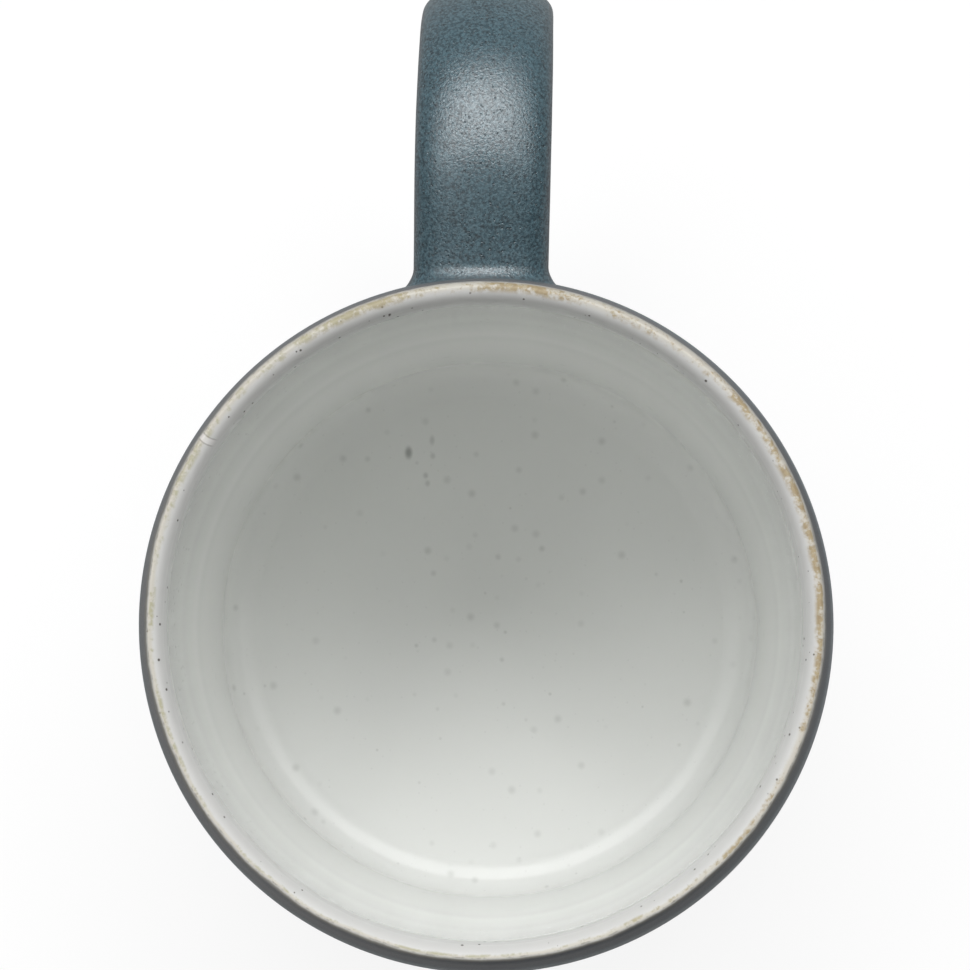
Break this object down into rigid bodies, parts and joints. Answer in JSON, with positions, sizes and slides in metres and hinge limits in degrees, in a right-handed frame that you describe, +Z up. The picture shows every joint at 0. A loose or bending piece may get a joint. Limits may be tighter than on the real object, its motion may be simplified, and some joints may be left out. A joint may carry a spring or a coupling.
{
  "type": "mug",
  "caption": "Barrel-shaped stoneware mug with a strap handle, glossy white glaze inside, satin blue-grey glaze outside and a toasted line round the lip.",
  "frame": {"origin": "on the table, under the middle of the whole mug with its handle", "axes": "+X out along the handle, +Z up the mug's own axis, which stands at x = -0.0204, y = 0"},
  "size_m": [0.134, 0.0932, 0.095],
  "materials": {
    "stoneware": "bare fired clay, matt, fine grog",
    "white_glaze": "glossy white with fine dark specks",
    "blue_glaze": "satin blue-grey with a fine mottle",
    "toasted_glaze": "thin glaze broken to ochre"
  },
  "bodies": {
    "root": {"stoneware_body": "stoneware", "liner_glaze": "white_glaze", "lip_toast_line": "toasted_glaze", "outer_glaze": "blue_glaze", "well_glaze": "blue_glaze", "handle_strap": "stoneware", "handle_glaze": "blue_glaze", "upper_handle_root": "blue_glaze", "lower_handle_root": "blue_glaze"}
  },
  "joints": []
}
